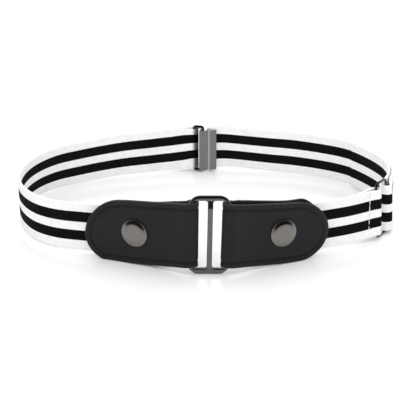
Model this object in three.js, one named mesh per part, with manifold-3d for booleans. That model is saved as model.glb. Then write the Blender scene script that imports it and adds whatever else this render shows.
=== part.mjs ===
// Buckle-free elastic belt, standing on its lower edge as a closed loop.
// A striped elastic band in three lengths is closed at the front by two leather tabs folded round
// the outer bars of a metal slide, at the wearer's left side by a wire ring, and at the back by a
// hook that holds a second wire ring. Millimetres, +X to the right, +Y to the back, +Z up.

import * as THREE from "three";
import { mergeVertices } from "three/addons/utils/BufferGeometryUtils.js";
import Module from "manifold-3d";

const wasm = await Module();
wasm.setup();

// Elastic band
const BAND_WIDTH = 25;
const BAND_THICK = 1.4;
const BAND_STEP = 6.5; // spacing of the band's sections
const BAND_START = 13; // from a tab's fold to the end of the band sewn behind it
const FOLD_SQUEEZE = 0.3; // each edge of the band is pulled in by this much where it turns round a bar
const CLASP_SQUEEZE = 0.65;
const LAYER_GAP = 0.3; // between two layers that lie on each other
const TURN_PARTS = 8; // sections in a turn round a bar
const SQUEEZE_RUN = 8; // length over which the band narrows towards a turn
const LEAN_RUN = 25; // length over which it takes on the turn's lean

// Leather tabs
const LEATHER_THICK = 1.3;
const TAB_TAPER_LENGTH = 36;
const BACK_LENGTH = 55; // back layer, from the slide's bar to its round end
const BACK_END_RUN = 15.5; // length of the round end of the back layer
const BACK_NARROWER = 0.4; // taken off each edge of the back layer
const SNAP_GAP = 1.5; // between the layers at the snap and beyond
const FOLD_RUN = 10; // length over which the layers close up behind the bar
const TAB_LEAN_RUN = 14; // length over which the lean of the fold fades out
const BLUNT_END = 1.2; // half height of the flat left at the tip of a round end
const TABLE_GAP = 0.05; // between the leather's lower edge and the table

// Front slide
const SLIDE = {
  x: 0.55,
  halfWidth: 10.55,
  height: 40,
  wire: 2.7, // thickness of the frame, and width of its lower and outer bars
  topBar: 2.25,
  centreBar: 2.55,
  centreShift: 0.35, // of the centre bar, to the right of the frame's middle
  corner: 6,
  slotCorner: 2.2,
};
const SLIDE_LEAN = 0.021; // sideways lean, millimetres per millimetre of height
const SLIDE_ROUNDING = 0.9;
const FOLD_SLACK_Y = 0.3; // between the slide's bar and the leather, in front of it and behind it

// Snap fasteners, measured along their own axis from the face of the front layer
const CAP_RADIUS = 6.9;
const CAP_DOME = 1.75;
const DISC_THICK = 1; // of the socket's and the stud's discs
const SNAP_GAP_TO_FACE = 0.27;
const SHANK_RADIUS = 2.6;
const SOCKET_RADIUS = 5;
const SOCKET_BORE = 1.9;
const POST_RADIUS = 1.6;
const STUD_RADIUS = 5.5;
const HOLE_CLEARANCE = 0.3;

// Wire rings, with the places in plan of their two upright bars
const SIDE_RING = { front: [85.85, 44.2], rear: [91.95, 53.7], wire: 1.4, height: 30.3, corner: 2.8, lean: -0.045 };
const CLASP_RING = { front: [-2.93, 148.8], rear: [-8.0, 150.45], wire: 1.8, height: 27.7, corner: 1.15, lean: 0 };
const CLASP_TURN = 1.85; // from a bar's centre to the middle of the band folded round it
const SIDE_TURN = 2.05;
const ADJUSTING_TURN = 2.75;

// Hook plate at the back
const HOOK = { x: 0, y: 147.3, yaw: 0.28, width: 10.3, height: 24.0, bottom: 1.1, sheet: 0.8 };

// Lengths of the folded ends of the band
const TAIL_AT_CLASP = 14;
const TAIL_AT_SIDE = 13;
const CLOSING_RUN = 12; // length over which a folded end comes to lie against the band

// Middle line of each length of band: place in plan, height of its middle, and how far its upper
// edge leans outwards.
const LEFT_BAND = [
  { x: -62.2, y: 25.7, z: 14.3, lean: 0 },
  { x: -76.5, y: 33.1, z: 13.05, lean: 0 },
  { x: -86.8, y: 40.7, z: 13.0, lean: 0.3 },
  { x: -94.0, y: 51.5, z: 13.1, lean: 0.8 },
  { x: -98.3, y: 64.5, z: 13.1, lean: 0.6 },
  { x: -99.5, y: 78.0, z: 13.3, lean: -0.8 },
  { x: -97.6, y: 92.0, z: 13.5, lean: -2.2 },
  { x: -92.6, y: 105.6, z: 13.35, lean: -3.0 },
  { x: -84.2, y: 117.4, z: 13.2, lean: -2.4 },
  { x: -74.2, y: 125.6, z: 13.0, lean: -1.8 },
  { x: -61.6, y: 133.2, z: 13.2, lean: -1.8 },
  { x: -48.4, y: 139.0, z: 13.6, lean: -1.5 },
  { x: -34.7, y: 143.3, z: 13.8, lean: -1.2 },
  { x: -21.0, y: 146.9, z: 14.1, lean: -0.6 },
  { x: -12.5, y: 147.9, z: 13.85, lean: 0 },
];
const RIGHT_FRONT_BAND = [
  { x: 61.0, y: 28.2, z: 14.8, lean: 0 },
  { x: 70.0, y: 33.3, z: 14.4, lean: 0 },
  { x: 79.0, y: 38.1, z: 14.65, lean: 0 },
  { x: 83.3, y: 40.5, z: 14.95, lean: 0 },
];
const RIGHT_BAND = [
  { x: 1.13, y: 149.89, z: 14.5, lean: 0 },
  { x: 4.78, y: 150.94, z: 14.5, lean: 0 },
  { x: 9.0, y: 151.3, z: 14.5, lean: -1.0 },
  { x: 14.5, y: 150.8, z: 14.3, lean: -1.8 },
  { x: 24.5, y: 148.9, z: 13.9, lean: -1.6 },
  { x: 36.0, y: 146.6, z: 13.4, lean: -0.8 },
  { x: 48.7, y: 143.9, z: 13.1, lean: -0.3 },
  { x: 62.2, y: 138.3, z: 13.0, lean: -0.6 },
  { x: 75.2, y: 130.0, z: 13.1, lean: 0 },
  { x: 84.4, y: 119.5, z: 13.4, lean: 0 },
  { x: 91.6, y: 106.2, z: 13.6, lean: 0 },
  { x: 96.1, y: 93.0, z: 14.0, lean: 0 },
  { x: 97.9, y: 80.0, z: 14.4, lean: 0 },
  { x: 96.8, y: 69.5, z: 14.2, lean: 0 },
  { x: 95.2, y: 61.5, z: 14.1, lean: 0 },
];

// Adjusting end of the right band, from its turn round the side ring to its tip. It hangs loose there.
const ADJUSTING_END = [
  { x: 89.5, y: 55.6, z: 14.2, lean: 0 },
  { x: 90.7, y: 58.6, z: 14.3, lean: 0 },
  { x: 92.8, y: 63.2, z: 14.4, lean: 0 },
  { x: 94.7, y: 69.0, z: 14.6, lean: 0 },
  { x: 95.8, y: 75.5, z: 14.8, lean: 0 },
  { x: 96.05, y: 82.0, z: 14.8, lean: 0 },
  { x: 94.4, y: 92.8, z: 14.5, lean: 0 },
  { x: 89.95, y: 105.5, z: 14.1, lean: 0 },
  { x: 82.9, y: 118.5, z: 13.9, lean: 0 },
  { x: 80.9, y: 121.2, z: 13.9, lean: 0 },
];

// Face of each tab's front layer, from the slide outwards: place in plan and height of its middle.
// `slack` is the space between the slide's bar and the fold, `flap` the length of the front layer,
// and `backLift` how much higher the back layer lies, in rows of distance from the fold and height.
const LEFT_TAB = {
  side: -1,
  lean: 0.015,
  slack: 1.5,
  halfAtFold: 16.45,
  halfAtEnd: 16.5,
  flap: 57.4,
  endRun: 17.6,
  snapAt: 30.8,
  snapLift: 0,
  backLift: [
    [0, 0.2], [3, 0.3], [7, 0.4], [11, 0.35], [15, -0.1], [19, -0.5], [23, -0.7], [30, -0.85], [BACK_LENGTH, -0.85],
  ],
  face: [
    { x: -8.3, y: -2.9, z: 20.35 },
    { x: -10.4, y: -2.8, z: 20.25 },
    { x: -15.9, y: 0.7, z: 19.25 },
    { x: -25.7, y: 5.8, z: 17.9 },
    { x: -33.1, y: 9.4, z: 17.05 },
    { x: -41.5, y: 13.2, z: 16.1 },
    { x: -50.0, y: 16.6, z: 14.8 },
    { x: -61.5, y: 19.8, z: 13.1 },
  ],
};
const RIGHT_TAB = {
  side: 1,
  lean: 0.03,
  slack: 0.7,
  halfAtFold: 16.35,
  halfAtEnd: 15.65,
  flap: 55.3,
  endRun: 17.9,
  snapAt: 30,
  snapLift: 0.65,
  backLift: [
    [0, 0.2], [3, 0.4], [7, 1.4], [12, 1.5], [17, 1.25], [23, 1], [28, 0.7], [34, 0.6], [39, 0.85], [42, 1.05],
    [44, 0.95], [46, 0.45], [48, -0.1], [BACK_LENGTH, -0.1],
  ],
  face: [
    { x: 10.1, y: -2.9, z: 20.1 },
    { x: 12.3, y: -2.8, z: 20.0 },
    { x: 17.9, y: 0.8, z: 18.9 },
    { x: 27.6, y: 6.3, z: 17.25 },
    { x: 37.6, y: 11.0, z: 16.1 },
    { x: 45.1, y: 14.6, z: 15.45 },
    { x: 60.5, y: 21.4, z: 14.85 },
  ],
};

const elastic = () => new THREE.MeshStandardMaterial({ color: 0xe9e9e6, roughness: 0.85, metalness: 0 });
const leather = () => new THREE.MeshStandardMaterial({ color: 0x25262a, roughness: 0.55, metalness: 0 });
const gunmetal = () => new THREE.MeshStandardMaterial({ color: 0x6d6c69, roughness: 0.28, metalness: 1 });
const steel = () => new THREE.MeshStandardMaterial({ color: 0x8d8d88, roughness: 0.35, metalness: 1 });

const lerp = THREE.MathUtils.lerp;
const smooth = (t) => THREE.MathUtils.smoothstep(t, 0, 1);

// A closed solid through a row of sections that all have the same number of corners. An open row
// gets a flat cap at each end, a looped one joins its last section to its first.
function skin(sections, looped = false) {
  const corners = sections[0].length;
  const positions = sections.flat().flatMap((p) => [p.x, p.y, p.z]);
  const index = [];
  const spans = looped ? sections.length : sections.length - 1;
  for (let i = 0; i < spans; i += 1) {
    const here = i * corners;
    const next = ((i + 1) % sections.length) * corners;
    for (let j = 0; j < corners; j += 1) {
      const k = (j + 1) % corners;
      index.push(here + j, next + j, next + k, here + j, next + k, here + k);
    }
  }
  if (!looped) {
    const last = (sections.length - 1) * corners;
    for (let j = 1; j < corners - 1; j += 1) {
      index.push(0, j, j + 1, last, last + j + 1, last + j);
    }
  }
  const geometry = new THREE.BufferGeometry();
  geometry.setAttribute("position", new THREE.Float32BufferAttribute(positions, 3));
  geometry.setIndex(volumeOf(positions, index) < 0 ? index.reverse() : index);
  return geometry;
}

function volumeOf(positions, index) {
  const at = (i) => new THREE.Vector3().fromArray(positions, 3 * i);
  let volume = 0;
  for (let i = 0; i < index.length; i += 3) {
    volume += at(index[i]).dot(at(index[i + 1]).cross(at(index[i + 2]))) / 6;
  }
  return volume;
}

// A smooth line through the rows of a table, cut into even steps. Each step carries the place, the
// lean, and the sideways direction `side`, which is the line's direction turned a quarter to the left.
function stepsAlong(rows, spacing) {
  const curve = new THREE.CatmullRomCurve3(rows.map((r) => new THREE.Vector3(r.x, r.y, r.z)), false, "centripetal");
  const lean = new THREE.CatmullRomCurve3(rows.map((r) => new THREE.Vector3(r.lean ?? 0, 0, 0)), false, "catmullrom");
  const count = Math.ceil(curve.getLength() / spacing);
  return Array.from({ length: count + 1 }, (_, i) => {
    const t = curve.getUtoTmapping(i / count);
    const ahead = curve.getTangent(t);
    const side = new THREE.Vector2(-ahead.y, ahead.x).normalize();
    return { at: curve.getPoint(t), side, half: BAND_WIDTH / 2, lean: lean.getPoint(t).x };
  });
}

// The same line read at one distance from its start.
function reader(rows) {
  const curve = new THREE.CatmullRomCurve3(rows.map((r) => new THREE.Vector3(r.x, r.y, r.z)), false, "centripetal");
  const length = curve.getLength();
  return (distance) => {
    const t = curve.getUtoTmapping(THREE.MathUtils.clamp(distance / length, 0, 1));
    const ahead = curve.getTangent(t);
    return { at: curve.getPoint(t), side: new THREE.Vector2(-ahead.y, ahead.x).normalize() };
  };
}

// Upright rectangular section of a band or a leather layer, with its thickness along `side`. Its
// upper edge is `lean` outwards of its middle, and `shear` to the right for each millimetre up.
function uprightSection({ at, side, half, lean = 0, shear = 0 }, thick) {
  const corners = [[-1, -1], [1, -1], [1, 1], [-1, 1]];
  return corners.map(([across, up]) => {
    const shift = (across * thick) / 2 + (lean * up) / 2;
    return new THREE.Vector3(at.x + side.x * shift + up * half * shear, at.y + side.y * shift, at.z + up * half);
  });
}

// The row where a straight line from the last row of a table touches the circle of a turn round an
// upright bar. `turn` is +1 where the bar lies to the left of the line, and -1 to its right.
function touchingRow(row, bar, turn, radius) {
  const toBar = new THREE.Vector2(bar[0] - row.x, bar[1] - row.y);
  const distance = toBar.length();
  const ahead = toBar.clone().normalize().rotateAround(new THREE.Vector2(), -turn * Math.asin(radius / distance));
  const reach = Math.sqrt(distance ** 2 - radius ** 2);
  return { x: row.x + ahead.x * reach, y: row.y + ahead.y * reach, z: row.z, lean: 0 };
}

// A band's line with its turn round an upright bar. Its end either comes back along it for the length
// `tail`, or follows its own rows `end`. Close to the bar the band is squeezed and takes the turn's own
// sideways lean.
function foldedLine(rows, spacing, { bar, turn, radius, tail, end: endRows, shear = 0, squeeze = FOLD_SQUEEZE }) {
  const steps = stepsAlong([...rows, touchingRow(rows.at(-1), bar, turn, radius)], spacing);
  const end = steps.at(-1);
  const centre = new THREE.Vector2(...bar);
  const inward = centre.clone().sub(end.at).normalize();
  const ahead = new THREE.Vector2(inward.y, -inward.x).multiplyScalar(turn);
  const foldHalf = BAND_WIDTH / 2 - squeeze;
  const arc = [];
  for (let i = 1; i < TURN_PARTS; i += 1) {
    const angle = (Math.PI * i) / TURN_PARTS;
    const out = inward.clone().multiplyScalar(-Math.cos(angle)).addScaledVector(ahead, Math.sin(angle));
    const at = centre.clone().addScaledVector(out, radius);
    arc.push({ at: new THREE.Vector3(at.x, at.y, end.at.z), side: out.multiplyScalar(-turn), half: foldHalf, shear });
  }
  const ease = (step, run) => {
    step.half = lerp(foldHalf, BAND_WIDTH / 2, smooth(run / SQUEEZE_RUN));
    step.shear = lerp(shear, 0, smooth(run / LEAN_RUN));
  };
  const back = [];
  let run = 0;
  for (let i = steps.length - 1; i >= 0; i -= 1) {
    const step = steps[i];
    if (i < steps.length - 1) run += step.at.distanceTo(steps[i + 1].at);
    ease(step, run);
    if (endRows || run > tail) continue;
    const apart = lerp(2 * radius, BAND_THICK + LAYER_GAP, smooth(run / CLOSING_RUN));
    const at = step.at.clone();
    at.x += step.side.x * turn * apart;
    at.y += step.side.y * turn * apart;
    back.push({ ...step, at, side: step.side.clone().negate(), lean: -step.lean });
  }
  if (endRows) {
    const start = { x: 2 * centre.x - end.at.x, y: 2 * centre.y - end.at.y, z: end.at.z, lean: 0 };
    back.push(...stepsAlong([start, ...endRows], spacing));
    back.forEach((step) => ease(step, step.at.distanceTo(back[0].at)));
  }
  return [...steps, ...arc, ...back];
}

function bandSolid(steps) {
  return skin(steps.map((step) => uprightSection(step, BAND_THICK)));
}

// Half height of a tab's layer at a distance from the fold. Its end is half of an ellipse.
function tabHalf(tab, distance, length, endRun) {
  const straight = lerp(tab.halfAtFold, tab.halfAtEnd, Math.min(distance / TAB_TAPER_LENGTH, 1));
  const intoEnd = (distance - (length - endRun)) / endRun;
  if (intoEnd <= 0) return straight;
  return Math.max(tab.halfAtEnd * Math.sqrt(Math.max(1 - intoEnd ** 2, 0)), BLUNT_END);
}

// Distances from the fold at which a layer gets a section, closer together at the fold and round
// its end.
function tabDistances(length, endRun) {
  const straight = length - endRun;
  const even = Array.from({ length: 11 }, (_, i) => straight * (i / 10) ** 1.4);
  const round = Array.from({ length: 9 }, (_, i) => straight + endRun * Math.sin(((i + 1) * Math.PI) / 18));
  return [...even, ...round];
}

// How much higher than the front layer the back layer lies, at a distance from the fold.
function backLift(tab, distance) {
  const next = tab.backLift.findIndex(([at]) => at > distance);
  if (next < 0) return tab.backLift.at(-1)[1];
  const [from, low] = tab.backLift[next - 1];
  const [to, high] = tab.backLift[next];
  return lerp(low, high, (distance - from) / (to - from));
}

// A section of leather whose lower edge would reach under the table rests on it instead.
function onTable(step) {
  const low = Math.max(step.at.z - step.half, TABLE_GAP);
  const high = step.at.z + step.half;
  step.at.z = (low + high) / 2;
  step.half = (high - low) / 2;
  return step;
}

// Direction from the front layer's face towards the back layer, at a distance from the fold.
function tabFrame(tab, read, distance) {
  const { at, side } = read(distance);
  const inward = side.clone().multiplyScalar(tab.side);
  return { at, inward };
}

// A tab is one strip: front layer from its round end to the slide, a turn round the slide's outer
// bar, and the back layer out to its own round end.
function tabSolid(tab) {
  const read = reader(tab.face);
  const bar = new THREE.Vector2(SLIDE.x + tab.side * (SLIDE.halfWidth - SLIDE.wire / 2), 0);
  const shearAt = (distance) => tab.lean * (1 - smooth(distance / TAB_LEAN_RUN));
  const turnX = SLIDE.wire / 2 + tab.slack + LEATHER_THICK / 2;
  const turnY = SLIDE.wire / 2 + FOLD_SLACK_Y + LEATHER_THICK / 2;
  const front = tabDistances(tab.flap, tab.endRun).map((distance) => {
    const { at, inward } = tabFrame(tab, read, distance);
    at.x += (inward.x * LEATHER_THICK) / 2;
    at.y += (inward.y * LEATHER_THICK) / 2;
    const half = tabHalf(tab, distance, tab.flap, tab.endRun);
    return onTable({ at, side: inward, shear: shearAt(distance), half });
  });
  const back = tabDistances(BACK_LENGTH, BACK_END_RUN).map((distance) => {
    const { at, inward } = tabFrame(tab, read, distance);
    const open = 2 * turnY - LEATHER_THICK;
    const apart = LEATHER_THICK * 1.5 + lerp(open, SNAP_GAP, smooth(distance / FOLD_RUN));
    at.x += inward.x * apart;
    at.y += inward.y * apart;
    at.z += backLift(tab, distance);
    const half = tabHalf(tab, distance, BACK_LENGTH, BACK_END_RUN) - BACK_NARROWER * smooth(distance / FOLD_RUN);
    return onTable({ at, side: inward.negate(), shear: shearAt(distance), half });
  });
  const turn = [];
  const start = front[0].at;
  const finish = back[0].at;
  for (let i = 1; i < TURN_PARTS; i += 1) {
    const angle = -Math.PI / 2 + (Math.PI * i) / TURN_PARTS;
    const x = bar.x - tab.side * turnX * Math.cos(angle);
    const y = bar.y + turnY * Math.sin(angle);
    const z = lerp(start.z, finish.z, i / TURN_PARTS);
    const side = new THREE.Vector2(tab.side * Math.cos(angle) * turnY, -Math.sin(angle) * turnX).normalize();
    turn.push({ at: new THREE.Vector3(x, y, z), side, shear: tab.lean, half: tab.halfAtFold });
  }
  const strip = [...front.reverse(), ...turn, ...back];
  return skin(strip.map((step) => uprightSection(step, LEATHER_THICK)));
}

// Rows for the start of a band, which lies on the back of a tab's back layer.
function rowsBehind(tab) {
  const read = reader(tab.face);
  const depth = BAND_THICK / 2 - BAND_BACK - BAND_THICK;
  return [0, 8, 16, 24, 32].map((further) => {
    const { at, inward } = tabFrame(tab, read, BAND_START + further);
    return { x: at.x + inward.x * depth, y: at.y + inward.y * depth, z: at.z, lean: 0 };
  });
}

// Place and axis of a tab's snap: the origin lies on the front layer's face, +Y points outwards.
function snapMatrix(tab) {
  const { at, inward } = tabFrame(tab, reader(tab.face), tab.snapAt);
  at.z += tab.snapLift;
  const outward = new THREE.Vector3(-inward.x, -inward.y, 0);
  const turn = new THREE.Quaternion().setFromUnitVectors(new THREE.Vector3(0, 1, 0), outward);
  return new THREE.Matrix4().compose(at, turn, new THREE.Vector3(1, 1, 1));
}

// Heights below are measured outwards from the front layer's face; what lies behind it is negative.
const SOCKET_FRONT = -(LEATHER_THICK + SNAP_GAP_TO_FACE);
const SOCKET_BACK = SOCKET_FRONT - DISC_THICK;
const BACK_FACE = -(LEATHER_THICK + SNAP_GAP + LEATHER_THICK);
const BAND_BACK = BACK_FACE - SNAP_GAP_TO_FACE - BAND_THICK;
const STUD_FRONT = BAND_BACK - SNAP_GAP_TO_FACE;

function snapCap() {
  const profile = [
    [0, -0.6], [SOCKET_BORE, -0.6], [SOCKET_BORE, SOCKET_BACK], [SOCKET_RADIUS, SOCKET_BACK],
    [SOCKET_RADIUS, SOCKET_FRONT], [SHANK_RADIUS, SOCKET_FRONT], [SHANK_RADIUS, SNAP_GAP_TO_FACE],
    [CAP_RADIUS - 0.4, SNAP_GAP_TO_FACE], [CAP_RADIUS, 0.6], [CAP_RADIUS, 1.0], [CAP_RADIUS - 0.3, 1.35],
    [CAP_RADIUS - 0.8, 1.4], [CAP_RADIUS - 1.2, 1.25], [CAP_RADIUS / 2, CAP_DOME - 0.15], [0, CAP_DOME],
  ];
  return new THREE.LatheGeometry(profile.map(([r, h]) => new THREE.Vector2(r, h)), 32);
}

function snapStud() {
  const profile = [
    [0, STUD_FRONT - DISC_THICK], [STUD_RADIUS - 0.5, STUD_FRONT - 0.9], [STUD_RADIUS, STUD_FRONT - 0.5],
    [STUD_RADIUS - 0.3, STUD_FRONT], [POST_RADIUS, STUD_FRONT], [POST_RADIUS, -1.1],
    [POST_RADIUS - 0.3, -0.9], [0, -0.9],
  ];
  return new THREE.LatheGeometry(profile.map(([r, h]) => new THREE.Vector2(r, h)), 24);
}

// A hole round the snap's axis, from one height to another.
function snapHole(tab, radius, from, to) {
  const hole = new THREE.CylinderGeometry(radius, radius, to - from, 20);
  hole.translate(0, (from + to) / 2, 0);
  return hole.applyMatrix4(snapMatrix(tab));
}

function toSolid(geometry) {
  const bare = geometry.clone();
  bare.deleteAttribute("normal");
  bare.deleteAttribute("uv");
  const merged = mergeVertices(bare, 1e-4);
  return new wasm.Manifold(new wasm.Mesh({
    numProp: 3,
    vertProperties: Float32Array.from(merged.attributes.position.array),
    triVerts: Uint32Array.from(merged.index.array),
  }));
}

function drilled(geometry, holes) {
  const solid = holes.reduce((body, hole) => body.subtract(toSolid(hole)), toSolid(geometry));
  const mesh = solid.getMesh();
  const result = new THREE.BufferGeometry();
  result.setAttribute("position", new THREE.Float32BufferAttribute(mesh.vertProperties, 3));
  result.setIndex([...mesh.triVerts]);
  return result;
}

// A rectangle with round corners, centred on x and standing on y = 0.
function roundedRectangle(Kind, x0, x1, y0, y1, corner) {
  const shape = new Kind();
  shape.moveTo(x0 + corner, y0);
  shape.lineTo(x1 - corner, y0);
  shape.absarc(x1 - corner, y0 + corner, corner, -Math.PI / 2, 0, false);
  shape.lineTo(x1, y1 - corner);
  shape.absarc(x1 - corner, y1 - corner, corner, 0, Math.PI / 2, false);
  shape.lineTo(x0 + corner, y1);
  shape.absarc(x0 + corner, y1 - corner, corner, Math.PI / 2, Math.PI, false);
  shape.lineTo(x0, y0 + corner);
  shape.absarc(x0 + corner, y0 + corner, corner, Math.PI, 1.5 * Math.PI, false);
  return shape;
}

// The slide: a frame with a centre bar, rounded all over, leaning a little to the right.
function slideSolid() {
  const { x, halfWidth, height, wire, topBar, centreBar, centreShift, corner, slotCorner } = SLIDE;
  const frame = roundedRectangle(THREE.Shape, -halfWidth, halfWidth, 0, height, corner);
  for (const side of [-1, 1]) {
    const inner = centreShift + (side * centreBar) / 2;
    const outer = side * (halfWidth - wire);
    const [x0, x1] = side < 0 ? [outer, inner] : [inner, outer];
    frame.holes.push(roundedRectangle(THREE.Path, x0, x1, wire, height - topBar, slotCorner));
  }
  const geometry = new THREE.ExtrudeGeometry(frame, {
    depth: wire - 2 * SLIDE_ROUNDING,
    bevelThickness: SLIDE_ROUNDING,
    bevelSize: SLIDE_ROUNDING,
    bevelOffset: -SLIDE_ROUNDING,
    bevelSegments: 2,
    curveSegments: 5,
  });
  geometry.translate(0, 0, SLIDE_ROUNDING - wire / 2);
  geometry.rotateX(Math.PI / 2);
  geometry.translate(x - (SLIDE_LEAN * height) / 2, 0, 0);
  geometry.applyMatrix4(new THREE.Matrix4().makeShear(0, 0, 0, 0, SLIDE_LEAN, 0));
  return geometry;
}

// A rectangular ring of round wire that stands upright, with its two long bars at given places.
function ringSolid({ front, rear, wire, height, corner, lean }) {
  const a = new THREE.Vector2(...front);
  const b = new THREE.Vector2(...rear);
  const along = b.clone().sub(a).normalize();
  const across = new THREE.Vector3(-along.y, along.x, 0);
  const width = a.distanceTo(b);
  const outline = roundedRectangle(THREE.Shape, 0, width, wire / 2, height - wire / 2, corner);
  const points = outline.getPoints(5).slice(0, -1);
  const sections = points.map((p, i) => {
    const before = points[(i + points.length - 1) % points.length];
    const after = points[(i + 1) % points.length];
    const ahead = after.clone().sub(before).normalize();
    const out = new THREE.Vector3(ahead.y * along.x, ahead.y * along.y, -ahead.x);
    const x = a.x + along.x * p.x + lean * (p.y - height / 2);
    const centre = new THREE.Vector3(x, a.y + along.y * p.x, p.y);
    return Array.from({ length: 8 }, (_, k) => {
      const angle = ((k + 0.5) * Math.PI) / 4;
      const r = wire / 2 / Math.cos(Math.PI / 8);
      return centre.clone().addScaledVector(out, r * Math.cos(angle)).addScaledVector(across, r * Math.sin(angle));
    });
  });
  return skin(sections, true);
}

// The hook plate, drawn from above in its own frame: x along the plate, y outwards from its inner
// face. Its left half hooks round the clasp ring's bar, its right half clamps the end of the band.
function hookSolid() {
  const { x, y, yaw, width, height, bottom, sheet } = HOOK;
  const half = width / 2;
  const bar = { x: -2.4, y: 2.25 };
  const inner = CLASP_RING.wire / 2 + 0.35;
  const outer = inner + sheet;
  const crease = 0.3;
  const clampFar = 4.4;
  const shape = new THREE.Shape();
  shape.moveTo(-half - 0.25, 0.02);
  shape.lineTo(-0.7, 0);
  shape.lineTo(-0.25, crease);
  shape.lineTo(0.55, crease);
  shape.lineTo(1.0, 0);
  shape.lineTo(half - 0.3, 0);
  shape.lineTo(half, 0.3);
  shape.lineTo(half, sheet);
  shape.lineTo(1.3, sheet);
  shape.lineTo(1.3, clampFar - sheet);
  shape.lineTo(half, clampFar - sheet);
  shape.lineTo(half, clampFar);
  shape.lineTo(0.4, clampFar);
  shape.lineTo(0.4, bar.y - inner);
  shape.lineTo(bar.x, bar.y - inner);
  shape.absarc(bar.x, bar.y, inner, -Math.PI / 2, -1.5 * Math.PI, true);
  shape.lineTo(-1.7, bar.y + inner);
  shape.lineTo(-1.7, bar.y + outer);
  shape.lineTo(bar.x, bar.y + outer);
  shape.absarc(bar.x, bar.y, outer, Math.PI / 2, 1.25 * Math.PI, false);
  const plate = new THREE.ExtrudeGeometry(shape, { depth: height, bevelEnabled: false, curveSegments: 8 });
  const relief = new THREE.BoxGeometry(6, 4, 2 * (CLASP_RING.wire + 2 * LAYER_GAP - bottom));
  relief.translate(-half + 1.2, bar.y - inner + 2, 0);
  const geometry = drilled(plate, [relief]);
  geometry.rotateZ(yaw);
  geometry.translate(x, y, bottom);
  return geometry;
}

const belt = new THREE.Group();
function addPiece(name, geometry, material) {
  const mesh = new THREE.Mesh(geometry, material);
  mesh.name = name;
  belt.add(mesh);
}

addPiece("front_slide", slideSolid(), gunmetal());

for (const [name, tab] of [["left", LEFT_TAB], ["right", RIGHT_TAB]]) {
  const flapHole = snapHole(tab, SHANK_RADIUS + HOLE_CLEARANCE, SOCKET_FRONT, 0.4);
  const backHole = snapHole(tab, POST_RADIUS + HOLE_CLEARANCE, BACK_FACE - 0.6, SOCKET_BACK - 0.05);
  addPiece(`tab_${name}`, drilled(tabSolid(tab), [flapHole, backHole]), leather());
  addPiece(`snap_cap_${name}`, snapCap().applyMatrix4(snapMatrix(tab)), steel());
  addPiece(`snap_stud_${name}`, snapStud().applyMatrix4(snapMatrix(tab)), steel());
}

const bandHole = (tab) => snapHole(tab, POST_RADIUS + HOLE_CLEARANCE, BAND_BACK - 0.6, BACK_FACE + 0.1);

const claspTurn = { bar: CLASP_RING.rear, turn: 1, radius: CLASP_TURN, tail: TAIL_AT_CLASP, squeeze: CLASP_SQUEEZE };
const leftLine = foldedLine([...rowsBehind(LEFT_TAB), ...LEFT_BAND], BAND_STEP, claspTurn);
addPiece("band_left", drilled(bandSolid(leftLine), [bandHole(LEFT_TAB)]), elastic());

const sideTurn = { bar: SIDE_RING.front, turn: 1, radius: SIDE_TURN, tail: TAIL_AT_SIDE, shear: SIDE_RING.lean };
const frontLine = foldedLine([...rowsBehind(RIGHT_TAB), ...RIGHT_FRONT_BAND], BAND_STEP / 2, sideTurn);
addPiece("band_right_front", drilled(bandSolid(frontLine), [bandHole(RIGHT_TAB)]), elastic());

const adjustingTurn = {
  bar: SIDE_RING.rear,
  turn: -1,
  radius: ADJUSTING_TURN,
  end: ADJUSTING_END,
  shear: SIDE_RING.lean,
};
addPiece("band_right", bandSolid(foldedLine(RIGHT_BAND, BAND_STEP, adjustingTurn)), elastic());

addPiece("side_ring", ringSolid(SIDE_RING), steel());
addPiece("clasp_ring", ringSolid(CLASP_RING), steel());
addPiece("clasp_hook", hookSolid(), steel());

// The origin is the middle of the footprint, on the surface that the belt stands on.
const box = new THREE.Box3().setFromObject(belt);
const middle = box.getCenter(new THREE.Vector3());
belt.position.set(-middle.x, -middle.y, -box.min.z);

export default belt;
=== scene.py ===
"""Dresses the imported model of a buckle-free elastic belt and sets up its studio.

Every soft piece is cut flat, at the size it has before it is folded, and then bent along its line
in plan by a Curve modifier. Lengths in the tables are millimetres in the maker's drawing, whose
origin is under the front slide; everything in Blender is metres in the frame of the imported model.
"""

import math

import bpy
from mathutils import Matrix, Vector


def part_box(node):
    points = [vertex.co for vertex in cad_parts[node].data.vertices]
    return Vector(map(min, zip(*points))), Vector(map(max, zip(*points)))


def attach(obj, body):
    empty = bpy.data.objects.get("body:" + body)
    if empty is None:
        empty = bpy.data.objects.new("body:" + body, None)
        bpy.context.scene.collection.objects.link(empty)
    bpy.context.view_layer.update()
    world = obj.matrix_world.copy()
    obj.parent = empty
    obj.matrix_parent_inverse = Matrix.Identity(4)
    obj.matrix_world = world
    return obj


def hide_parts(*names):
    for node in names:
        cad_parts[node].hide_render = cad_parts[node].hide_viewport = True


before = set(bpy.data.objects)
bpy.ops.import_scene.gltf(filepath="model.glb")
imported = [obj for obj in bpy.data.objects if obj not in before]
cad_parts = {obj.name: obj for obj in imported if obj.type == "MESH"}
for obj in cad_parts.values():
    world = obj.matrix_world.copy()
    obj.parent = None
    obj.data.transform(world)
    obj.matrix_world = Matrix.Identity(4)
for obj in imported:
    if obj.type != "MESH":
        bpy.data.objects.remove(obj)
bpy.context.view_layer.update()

bl_info = {
    "name": "Elastic belt dresser",
    "version": (1, 0, 0),
    "blender": (4, 5, 0),
    "location": "3D View > Sidebar > Belt",
    "description": "Builds the finished bands, leather tabs and metal parts of a buckle-free elastic belt",
    "category": "Add Mesh",
}

MM = 0.001
BODY = "root"

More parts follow.
